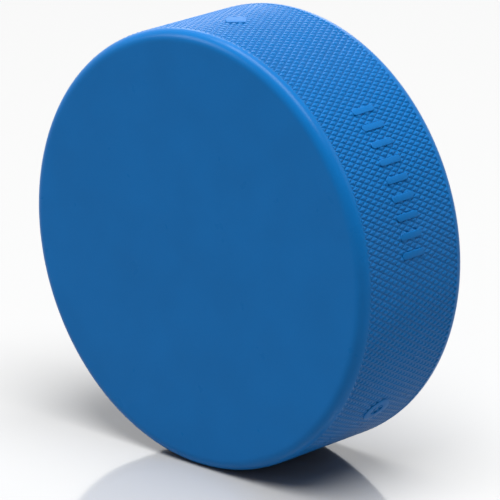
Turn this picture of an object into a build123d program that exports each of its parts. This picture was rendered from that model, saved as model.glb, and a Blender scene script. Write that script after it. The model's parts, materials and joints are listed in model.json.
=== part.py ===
from build123d import *
import os

# A light training puck for ice hockey: one disc of blue vulcanised rubber, moulded
# in one shot, with flat faces, rounded rims and a diamond-knurled edge. Low raised
# marks stand on the edge. The disc stands on its edge, as a wheel does.
#
# The knurl is 204 diamonds round the edge in each row, with every second row half a
# diamond further on. That puts a tip on each of 408 lines along the edge. The band
# here is the envelope of those tips: one narrow flat from each line to the next.
#
# Frame: millimetres, +Z up. The origin is where the edge touches the ground, at
# the middle of the thickness. The disc's axis runs along Y, the front face looks
# along -Y and the back face along +Y.

# ---- driving dimensions ----
puck_diameter = 76.2      # 3 inches, over the tips of the knurl's diamonds
puck_thickness = 25.4     # 1 inch
rim_radius = 1.8          # the rounding between each face and the edge

knurl_lines = 408         # lines of diamond tips, two for each diamond of a row
knurl_length = 21.4       # how far the knurl reaches along the axis
shoulder_drop = 0.05      # how far the smooth rims lie below the tips

mark_height = 0.2         # how far a raised mark stands above the diamonds' tips

bar_count = 9             # the row of bars on the edge
bar_length = 5.2          # along the disc's axis
bar_width = 1.2
bar_first_angle = 46.0    # degrees round the axis, from +X towards +Z
bar_step = -4.8

ring_outer_diameter = 5.4     # the round stud low on the edge
ring_inner_diameter = 2.4
ring_angle = -39.5
ring_offset = 0.6             # along the axis, from the middle of the thickness

lozenge_diagonal = 5.0        # the four-cornered stud near the top
lozenge_corner_radius = 0.5
lozenge_angle = 91.0
lozenge_offset = -1.6

# ---- worked out from them ----
puck_radius = puck_diameter / 2
centre = Vector(0, 0, puck_radius)
cutter_reach = 2.0        # a mark's straight-sided blank, each side of the edge surface


def disc_about_axis(radius, thickness):
    """A plain disc about the puck's axis, centred on the puck."""
    return Pos(centre) * Rot(90, 0, 0) * Cylinder(radius, thickness)


def edge_plane(angle, offset=0.0):
    """The plane that touches the edge at an angle: x along the axis, y round it."""
    outward = Vector(1, 0, 0).rotate(Axis.Y, -angle)
    spot = centre + outward * puck_radius + Vector(0, offset, 0)
    return Plane(origin=spot, x_dir=(0, 1, 0), z_dir=outward)


def raised_mark(outline, plane):
    """An outline raised from the edge: its two broad faces follow the round edge."""
    blank = extrude(plane * outline, amount=cutter_reach, both=True)
    outer = disc_about_axis(puck_radius + mark_height, puck_thickness)
    inner = disc_about_axis(puck_radius, puck_thickness)
    return blank & (outer - inner)


def make_puck_body():
    """The moulded disc with both rims rounded, and the knurl's envelope between them."""
    disc = disc_about_axis(puck_radius - shoulder_drop, puck_thickness)
    disc = fillet(disc.edges().filter_by(GeomType.CIRCLE), rim_radius)
    outline = RegularPolygon(puck_radius, knurl_lines, rotation=180 / knurl_lines)
    knurl = extrude(outline, amount=knurl_length / 2, both=True)
    return disc + Pos(centre) * Rot(90, 0, 0) * knurl


def make_edge_bar_row():
    """Equal bars with round ends, side by side along the edge."""
    outline = SlotOverall(bar_length, bar_width)
    angles = [bar_first_angle + i * bar_step for i in range(bar_count)]
    return Compound([raised_mark(outline, edge_plane(a)).solid() for a in angles])


def make_edge_ring_stud():
    """A round stud with an open middle."""
    outline = Circle(ring_outer_diameter / 2) - Circle(ring_inner_diameter / 2)
    return raised_mark(outline, edge_plane(ring_angle, ring_offset)).solid()


def make_edge_lozenge_stud():
    """A four-cornered stud that stands on a corner, with its corners eased."""
    side = lozenge_diagonal / 2**0.5
    outline = Rot(0, 0, 45) * RectangleRounded(side, side, lozenge_corner_radius)
    return raised_mark(outline, edge_plane(lozenge_angle, lozenge_offset)).solid()


parts = {
    "puck_body": make_puck_body(),
    "edge_bar_row": make_edge_bar_row(),
    "edge_ring_stud": make_edge_ring_stud(),
    "edge_lozenge_stud": make_edge_lozenge_stud(),
}

os.makedirs("parts", exist_ok=True)
for node, shape in parts.items():
    export_step(shape, f"parts/{node}.step")
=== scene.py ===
import json
import math

import bmesh
import bpy
from mathutils import Matrix, Vector

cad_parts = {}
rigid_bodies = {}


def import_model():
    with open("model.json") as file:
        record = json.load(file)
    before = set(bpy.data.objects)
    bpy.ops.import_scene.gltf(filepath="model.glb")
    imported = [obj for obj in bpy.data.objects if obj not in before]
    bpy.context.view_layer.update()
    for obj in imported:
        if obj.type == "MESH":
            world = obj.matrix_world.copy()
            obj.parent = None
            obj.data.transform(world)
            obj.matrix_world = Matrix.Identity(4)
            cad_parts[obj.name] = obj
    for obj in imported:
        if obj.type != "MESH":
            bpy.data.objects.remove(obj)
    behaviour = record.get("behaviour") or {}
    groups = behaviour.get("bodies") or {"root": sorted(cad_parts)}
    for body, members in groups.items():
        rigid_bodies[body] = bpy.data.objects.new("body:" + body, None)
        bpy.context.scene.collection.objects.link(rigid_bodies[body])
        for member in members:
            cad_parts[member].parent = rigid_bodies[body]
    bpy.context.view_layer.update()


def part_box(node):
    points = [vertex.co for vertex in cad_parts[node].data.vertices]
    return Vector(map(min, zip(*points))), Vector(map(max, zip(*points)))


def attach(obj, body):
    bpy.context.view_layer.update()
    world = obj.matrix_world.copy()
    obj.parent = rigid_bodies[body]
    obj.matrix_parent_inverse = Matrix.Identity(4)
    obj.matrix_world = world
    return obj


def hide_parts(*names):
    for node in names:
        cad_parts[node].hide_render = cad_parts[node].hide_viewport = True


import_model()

# ---------------------------------------------------------------------------
# The puck: one disc of blue rubber, pressed and cured in a steel mould. Its two faces
# are flat, both rims are rounded, and the edge between them is knurled with diamonds
# so that it grips the blade of a stick. It is a single piece with nothing inside.
# ---------------------------------------------------------------------------
body_low, body_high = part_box("puck_body")
tip_radius = (body_high.z - body_low.z) / 2
axis_height = (body_high.z + body_low.z) / 2
half_thickness = body_high.y
shoulder_drop = 0.00005
shoulder_radius = tip_radius - shoulder_drop
rim_radius = 0.0018
rim_steps = 6
face_margin = 0.0004

diamonds_round = 204
diamond_turn = 2 * math.pi / diamonds_round
knurl_half_length = 0.0107
row_steps = 21
row_step = 2 * knurl_half_length / row_steps
wall_inset, wall_height = 0.00024, 0.00015
crown_inset, crown_height = 0.00011, 0.00005
valley_radius = tip_radius - wall_height - crown_height
seam_reach = 0.00002
tolerance = 1e-6


def knurl_strip():
    """One diamond's width of the knurl, from rim to rim, at the top of the disc."""
    bm = bmesh.new()
    half_width = valley_radius * math.sin(diamond_turn / 2)
    half_diamond_on = Matrix.Rotation(diamond_turn / 2, 3, "Y")
    for row in range(row_steps + 1):
        made = bmesh.ops.create_circle(bm, cap_ends=True, segments=4, radius=1)
        corners = made["verts"]
        bmesh.ops.scale(bm, vec=(half_width, row_step, 1), verts=corners)
        place = Vector((0, row * row_step - knurl_half_length, valley_radius))
        bmesh.ops.translate(bm, vec=place, verts=corners)
        if row % 2:
            bmesh.ops.rotate(
                bm, cent=(0, 0, 0), matrix=half_diamond_on, verts=corners
            )
    diamonds = bm.faces[:]
    for diamond in diamonds:
        if diamond.normal.z < 0:
            diamond.normal_flip()
    for inset, height in ((wall_inset, wall_height), (crown_inset, crown_height)):
        bmesh.ops.inset_individual(
            bm, faces=diamonds, thickness=inset, depth=height, use_even_offset=True
        )
    for side in (-1, 1):
        bmesh.ops.bisect_plane(
            bm, geom=bm.verts[:] + bm.edges[:] + bm.faces[:], dist=tolerance / 10,
            plane_co=(0, side * knurl_half_length, 0), plane_no=(0, side, 0),
            clear_outer=True,
        )
    return bm


def next_ring(bm, ring):
    """Extrudes an open ring of edges, and gives its new corners and edges."""
    made = bmesh.ops.extrude_edge_only(bm, edges=ring)["geom"]
    corners = [part for part in made if isinstance(part, bmesh.types.BMVert)]
    fresh = set(corners)
    edges = [
        part for part in made
        if isinstance(part, bmesh.types.BMEdge) and fresh.issuperset(part.verts)
    ]
    return corners, edges


def close_side(bm, side):
    """The shoulder, the rounded rim and the flat face, on one side of the knurl."""
    knurl_end = knurl_half_length - tolerance
    ring = [
        edge for edge in bm.edges
        if edge.is_boundary and edge.verts[0].co.y * side > knurl_end
    ]
    corners, ring = next_ring(bm, ring)
    for corner in corners:
        stretch = shoulder_radius / math.hypot(corner.co.x, corner.co.z)
        corner.co.x *= stretch
        corner.co.z *= stretch
    profile = [(shoulder_radius, knurl_half_length)]
    for step in range(rim_steps + 1):
        bend = math.pi / 2 * step / rim_steps
        profile.append((
            shoulder_radius - rim_radius * (1 - math.cos(bend)),
            half_thickness - rim_radius * (1 - math.sin(bend)),
        ))
    profile.append((profile[-1][0] - face_margin, half_thickness))
    for (radius, depth), (next_radius, next_depth) in zip(profile, profile[1:]):
        corners, ring = next_ring(bm, ring)
        shrink = next_radius / radius
        bmesh.ops.scale(bm, vec=(shrink, 1, shrink), verts=corners)
        outwards = Vector((0, side * (next_depth - depth), 0))
        bmesh.ops.translate(bm, vec=outwards, verts=corners)
    bmesh.ops.edgeloop_fill(bm, edges=ring)


def moulded_rubber(name, colour, grain_depth, least_rough):
    """Satin rubber, coloured right through, with a fine skin and cloudy pigment, and
    with painted shade in the knurl's grooves and a painted highlight on its tips.
    """
    material = bpy.data.materials.new(name)
    material.use_nodes = True
    nodes, links = material.node_tree.nodes, material.node_tree.links
    shader = nodes["Principled BSDF"]
    gloss = 0.07
    shader.inputs["Specular IOR Level"].default_value = gloss

    place = nodes.new("ShaderNodeTexCoord")
    centre = nodes.new("ShaderNodeMapping")
    centre.inputs["Location"].default_value = (0, 0, -axis_height)
    links.new(place.outputs["Object"], centre.inputs["Vector"])

    def noise(scale, detail):
        """A cloud pattern over the piece, from 0 to 1, with smaller clouds inside it."""
        cloud = nodes.new("ShaderNodeTexNoise")
        cloud.inputs["Scale"].default_value = scale
        cloud.inputs["Detail"].default_value = detail
        links.new(centre.outputs["Vector"], cloud.inputs["Vector"])
        return cloud.outputs["Fac"]

    def between(value, low, high, result_low, result_high):
        """A value's range stretched to another range, and held at its ends."""
        stretch = nodes.new("ShaderNodeMapRange")
        stretch.inputs["From Min"].default_value = low
        stretch.inputs["From Max"].default_value = high
        stretch.inputs["To Min"].default_value = result_low
        stretch.inputs["To Max"].default_value = result_high
        links.new(value, stretch.inputs["Value"])
        return stretch.outputs["Result"]

    def maths(operation, first, second):
        """One sum on two values."""
        node = nodes.new("ShaderNodeMath")
        node.operation = operation
        for socket, value in zip(node.inputs, (first, second)):
            if isinstance(value, (int, float)):
                socket.default_value = value
            else:
                links.new(value, socket)
        return node.outputs["Value"]

    apart = nodes.new("ShaderNodeSeparateXYZ")
    links.new(centre.outputs["Vector"], apart.inputs["Vector"])
    across = nodes.new("ShaderNodeCombineXYZ")
    links.new(apart.outputs["X"], across.inputs["X"])
    links.new(apart.outputs["Z"], across.inputs["Z"])
    reach = nodes.new("ShaderNodeVectorMath")
    reach.operation = "LENGTH"
    links.new(across.outputs["Vector"], reach.inputs[0])

    # The grooves of the knurl get painted shade, a little darker than the faces, and the
    # tips of its diamonds a painted highlight, a little lighter.
    groove_painted_shade, tip_painted_highlight = 0.93, 1.02
    fade = 0.0001
    knurl_painted_light = between(
        reach.outputs["Value"], valley_radius, tip_radius, groove_painted_shade, tip_painted_highlight
    )
    depth = maths("ABSOLUTE", apart.outputs["Y"], 0)
    off_knurl = between(depth, knurl_half_length - fade, knurl_half_length + fade, 0, 1)
    painted_light_and_pigment = maths("MAXIMUM", knurl_painted_light, off_knurl)

    # The pigment is cloudy over about a centimetre, with a speckle of less than half a
    # millimetre. The skin's smoothness changes over a few millimetres, and its grain is
    # about a quarter of a millimetre across.
    clouds = noise(scale=110, detail=4)
    speckle = noise(scale=2600, detail=2)
    skin = noise(scale=240, detail=5)
    fine_grain = noise(scale=3800, detail=3)

    cloud_shade = between(clouds, 0.3, 0.7, 0.96, 1.04)
    speckle_shade = between(speckle, 0.35, 0.65, 0.985, 1.015)
    # The painted shade and highlight of the knurl are multiplied here with the real
    # pigment clouds and speckle.
    painted_light_and_pigment = maths("MULTIPLY", maths("MULTIPLY", painted_light_and_pigment, cloud_shade), speckle_shade)
    tint = nodes.new("ShaderNodeVectorMath")
    tint.operation = "SCALE"
    tint.inputs[0].default_value = colour
    links.new(painted_light_and_pigment, tint.inputs["Scale"])
    links.new(tint.outputs["Vector"], shader.inputs["Base Color"])

    most_rough = least_rough + 0.12
    rough = between(skin, 0.2, 0.8, least_rough, most_rough)
    links.new(rough, shader.inputs["Roughness"])

    grain = nodes.new("ShaderNodeBump")
    grain.inputs["Strength"].default_value = 1
    grain.inputs["Distance"].default_value = grain_depth
    links.new(fine_grain, grain.inputs["Height"])
    links.new(grain.outputs["Normal"], shader.inputs["Normal"])
    return material


def finished_piece(bm, name, material, node):
    """Turns a mesh about the origin into a piece at the puck's height."""
    bmesh.ops.translate(bm, vec=(0, 0, axis_height), verts=bm.verts)
    bmesh.ops.recalc_face_normals(bm, faces=bm.faces)
    mesh = bpy.data.meshes.new(name)
    bm.to_mesh(mesh)
    bm.free()
    mesh.materials.append(material)
    piece = bpy.data.objects.new(name, mesh)
    bpy.context.scene.collection.objects.link(piece)
    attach(piece, "root")
    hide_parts(node)


body_colour = (0.002, 0.095, 0.29)
body_grain, body_roughness = 0.00001, 0.25
bm = knurl_strip()
bmesh.ops.spin(
    bm, geom=bm.verts[:] + bm.edges[:] + bm.faces[:], cent=(0, 0, 0), axis=(0, 1, 0),
    angle=diamond_turn * (diamonds_round - 1), steps=diamonds_round - 1,
    use_duplicate=True,
)
bmesh.ops.remove_doubles(bm, verts=bm.verts, dist=seam_reach)
knurl_faces = bm.faces[:]
for side in (-1, 1):
    close_side(bm, side)
for face in bm.faces:
    face.smooth = True
for face in knurl_faces:
    face.smooth = False
body_rubber = moulded_rubber("blue rubber", body_colour, body_grain, body_roughness)
finished_piece(bm, "puck", body_rubber, "puck_body")

# ---------------------------------------------------------------------------
# The row of bars: nine low ribs across the edge, moulded with the puck from pockets cut
# in the mould, smooth on top and with their corners eased.
# ---------------------------------------------------------------------------
mark_height, mark_root = 0.0001, 0.0002
mark_top = tip_radius + mark_height
mark_foot = valley_radius - mark_root
# The marks are the same rubber as the body, painted a little darker as painted shade
# against the sheen they catch.
mark_colour_with_painted_shade = (0.002, 0.092, 0.282)
mark_grain, mark_roughness = 0.000005, 0.42
smooth_rubber = moulded_rubber(
    "smooth blue rubber", mark_colour_with_painted_shade, mark_grain, mark_roughness
)
corner_steps, ease_steps = 6, 3


def eased_block(length, width, corner, ease):
    """A flat block with round corners and an eased top, at its height from the axis."""
    bm = bmesh.new()
    bmesh.ops.create_cube(bm, size=1)
    height = mark_top - mark_foot
    bmesh.ops.scale(bm, vec=(width, length, height), verts=bm.verts)
    bmesh.ops.translate(bm, vec=(0, 0, (mark_top + mark_foot) / 2), verts=bm.verts)
    upright = [
        edge for edge in bm.edges
        if abs(edge.verts[0].co.z - edge.verts[1].co.z) > height / 2
    ]
    bmesh.ops.bevel(
        bm, geom=upright, offset=corner, offset_type="OFFSET", affect="EDGES",
        segments=corner_steps, profile=0.5, material=-1,
    )
    ease_top(bm, ease)
    return bm


def ease_top(bm, ease):
    """Rounds the edges between a flat top and the walls below it."""
    top = [
        edge for edge in bm.edges
        if all(corner.co.z > mark_top - tolerance for corner in edge.verts)
        and any(abs(face.normal.z) < 0.5 for face in edge.link_faces)
    ]
    bmesh.ops.bevel(
        bm, geom=top, offset=ease, offset_type="OFFSET", affect="EDGES",
        segments=ease_steps, profile=0.5, material=-1,
    )


def round_the_edge(bm, angle, offset):
    """Bends a flat mark round the puck's edge, at an angle from +X towards +Z."""
    for corner in bm.verts:
        turn = math.radians(angle) - corner.co.x / tip_radius
        reach = corner.co.z
        corner.co.x = reach * math.cos(turn)
        corner.co.z = reach * math.sin(turn)
        corner.co.y += offset
    for face in bm.faces:
        face.smooth = True


bars_low, bars_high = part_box("edge_bar_row")
bar_count = 9
bar_first_angle, bar_step = 46.0, -4.8
bar_width = 0.0012
bar_corner, bar_ease = bar_width * 0.49, 0.00012
bar_length = bars_high.y - bars_low.y
bars = bmesh.new()
for bar in range(bar_count):
    rib = eased_block(bar_length, bar_width, bar_corner, bar_ease)
    round_the_edge(rib, bar_first_angle + bar * bar_step, 0)
    rib_mesh = bpy.data.meshes.new("rib")
    rib.to_mesh(rib_mesh)
    rib.free()
    bars.from_mesh(rib_mesh)
    bpy.data.meshes.remove(rib_mesh)
finished_piece(bars, "bar_row", smooth_rubber, "edge_bar_row")

# ---------------------------------------------------------------------------
# The ring stud: a low round stud with an open middle, moulded on the lower part of the
# edge with the puck. The knurl shows again inside it.
# ---------------------------------------------------------------------------
ring_low, ring_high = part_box("edge_ring_stud")
ring_angle = -39.5
ring_outer = (ring_high.y - ring_low.y) / 2
ring_inner = 0.0012
ring_offset = (ring_high.y + ring_low.y) / 2
ring_sides = 40
ring_ease = 0.00015
ring = bmesh.new()
made = bmesh.ops.create_circle(
    ring, cap_ends=False, segments=ring_sides, radius=ring_outer
)
bmesh.ops.translate(ring, vec=(0, 0, mark_foot), verts=made["verts"])
loop = ring.edges[:]
corners, loop = next_ring(ring, loop)
bmesh.ops.translate(ring, vec=(0, 0, mark_top - mark_foot), verts=corners)
corners, loop = next_ring(ring, loop)
narrow = ring_inner / ring_outer
bmesh.ops.scale(ring, vec=(narrow, narrow, 1), verts=corners)
corners, loop = next_ring(ring, loop)
bmesh.ops.translate(ring, vec=(0, 0, mark_foot - mark_top), verts=corners)
corners, loop = next_ring(ring, loop)
bmesh.ops.scale(ring, vec=(1 / narrow, 1 / narrow, 1), verts=corners)
bmesh.ops.remove_doubles(ring, verts=ring.verts, dist=tolerance)
bmesh.ops.recalc_face_normals(ring, faces=ring.faces)
ease_top(ring, ring_ease)
round_the_edge(ring, ring_angle, ring_offset)
finished_piece(ring, "ring_stud", smooth_rubber, "edge_ring_stud")

# ---------------------------------------------------------------------------
# The lozenge stud: a low four-cornered stud standing on a corner near the top of the
# edge, moulded with the puck.
# ---------------------------------------------------------------------------
lozenge_low, lozenge_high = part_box("edge_lozenge_stud")
lozenge_angle = 91.0
lozenge_corner, lozenge_ease = 0.0005, 0.00015
lozenge_offset = (lozenge_high.y + lozenge_low.y) / 2
corner_gain = lozenge_corner * (math.sqrt(2) - 1) * 2
lozenge_side = (lozenge_high.y - lozenge_low.y + corner_gain) / math.sqrt(2)
lozenge = eased_block(lozenge_side, lozenge_side, lozenge_corner, lozenge_ease)
bmesh.ops.rotate(
    lozenge, cent=(0, 0, 0), matrix=Matrix.Rotation(math.pi / 4, 3, "Z"),
    verts=lozenge.verts,
)
round_the_edge(lozenge, lozenge_angle, lozenge_offset)
finished_piece(lozenge, "lozenge_stud", smooth_rubber, "edge_lozenge_stud")

# ---------------------------------------------------------------------------
# The camera looks a little down on the puck, from the right of its front face, with a
# long lens from under a metre away.
# ---------------------------------------------------------------------------
camera_azimuth, camera_elevation = math.radians(43.05), math.radians(17.66)
camera_distance = 0.839
camera_aside, camera_drop = 0.00075, 0.00238
lens_length, sensor_width = 356.3, 36
nearest_seen, farthest_seen = 0.01, 20
puck_centre = Vector((0, 0, axis_height))
towards_camera = Vector((
    math.sin(camera_azimuth) * math.cos(camera_elevation),
    -math.cos(camera_azimuth) * math.cos(camera_elevation),
    math.sin(camera_elevation),
))
camera_right = Vector((math.cos(camera_azimuth), math.sin(camera_azimuth), 0))
camera_up = towards_camera.cross(camera_right)
camera = bpy.data.objects.new("camera", bpy.data.cameras.new("camera"))
camera.location = (
    puck_centre + towards_camera * camera_distance
    + camera_right * camera_aside - camera_up * camera_drop
)
camera.rotation_mode = "QUATERNION"
camera.rotation_quaternion = towards_camera.to_track_quat("Z", "Y")
camera.data.lens = lens_length
camera.data.sensor_width = sensor_width
camera.data.clip_start, camera.data.clip_end = nearest_seen, farthest_seen
bpy.context.scene.collection.objects.link(camera)
bpy.context.scene.camera = camera

# ---------------------------------------------------------------------------
# The studio: a polished pale floor that shows the puck's reflection, four soft lamps
# for the puck, one wide soft lamp for the floor, and white all round.
# ---------------------------------------------------------------------------
floor_half_width = 4
floor_grey = (0.5, 0.5, 0.5, 1)
polish_roughness, polish_share = 0.09, 0.28
floor_bm = bmesh.new()
bmesh.ops.create_grid(floor_bm, x_segments=1, y_segments=1, size=floor_half_width)
floor_mesh = bpy.data.meshes.new("floor")
floor_bm.to_mesh(floor_mesh)
floor_bm.free()
floor = bpy.data.objects.new("floor", floor_mesh)
bpy.context.scene.collection.objects.link(floor)
polish = bpy.data.materials.new("polished floor")
polish.use_nodes = True
nodes, links = polish.node_tree.nodes, polish.node_tree.links
nodes.clear()
matt = nodes.new("ShaderNodeBsdfDiffuse")
matt.inputs["Color"].default_value = floor_grey
shine = nodes.new("ShaderNodeBsdfGlossy")
shine.inputs["Roughness"].default_value = polish_roughness
both = nodes.new("ShaderNodeMixShader")
both.inputs["Fac"].default_value = polish_share
out = nodes.new("ShaderNodeOutputMaterial")
links.new(matt.outputs[0], both.inputs[1])
links.new(shine.outputs[0], both.inputs[2])
links.new(both.outputs[0], out.inputs["Surface"])
floor_mesh.materials.append(polish)

puck_only = bpy.data.collections.new("puck only")
for piece in bpy.context.scene.objects:
    if piece.type == "MESH" and piece != floor:
        puck_only.objects.link(piece)
floor_only = bpy.data.collections.new("floor only")
floor_only.objects.link(floor)


def soft_lamp(name, towards, distance, width, depth, power, lit):
    """A softbox that faces the puck, and lights only the things in one collection."""
    lamp = bpy.data.objects.new(name, bpy.data.lights.new(name, "AREA"))
    lamp.data.shape = "RECTANGLE"
    lamp.data.size = width
    lamp.data.size_y = depth
    lamp.data.energy = power
    outwards = Vector(towards).normalized()
    lamp.location = puck_centre + outwards * distance
    lamp.rotation_mode = "QUATERNION"
    lamp.rotation_quaternion = outwards.to_track_quat("Z", "Y")
    bpy.context.scene.collection.objects.link(lamp)
    lamp.light_linking.receiver_collection = lit


# Each lamp's direction from the puck, its distance, width and depth in metres, its
# power in watts, and what it lights.
soft_lamp("overhead lamp", (-0.02, -0.08, 1), 1.05, 1.15, 0.42, 28, puck_only)
soft_lamp("left lamp", (-0.65, -0.6, 0.48), 1.3, 0.45, 0.45, 9.4, puck_only)
soft_lamp("right lamp", (0.6, 0.45, 0.62), 1.3, 0.7, 0.7, 4.5, puck_only)
soft_lamp("back lamp", (-0.56, 0.72, 0.42), 1.3, 0.6, 0.6, 3.7, puck_only)
soft_lamp("floor lamp", (0.22, -0.12, 0.96), 3.2, 2.6, 2.6, 220, floor_only)

# The white surround is bright where it is seen or reflected, and weaker as a light, so
# that the lamps shape the puck.
surround_seen, surround_lighting = 1.35, 0.2
world = bpy.data.worlds.new("white studio")
bpy.context.scene.world = world
world.use_nodes = True
nodes, links = world.node_tree.nodes, world.node_tree.links
surround = nodes["Background"]
surround.inputs["Color"].default_value = (1, 1, 1, 1)
ray = nodes.new("ShaderNodeLightPath")
level = nodes.new("ShaderNodeMapRange")
level.inputs["To Min"].default_value = surround_seen
level.inputs["To Max"].default_value = surround_lighting
links.new(ray.outputs["Diffuse Depth"], level.inputs["Value"])
links.new(level.outputs["Result"], surround.inputs["Strength"])
bpy.context.scene.view_settings.view_transform = "Standard"
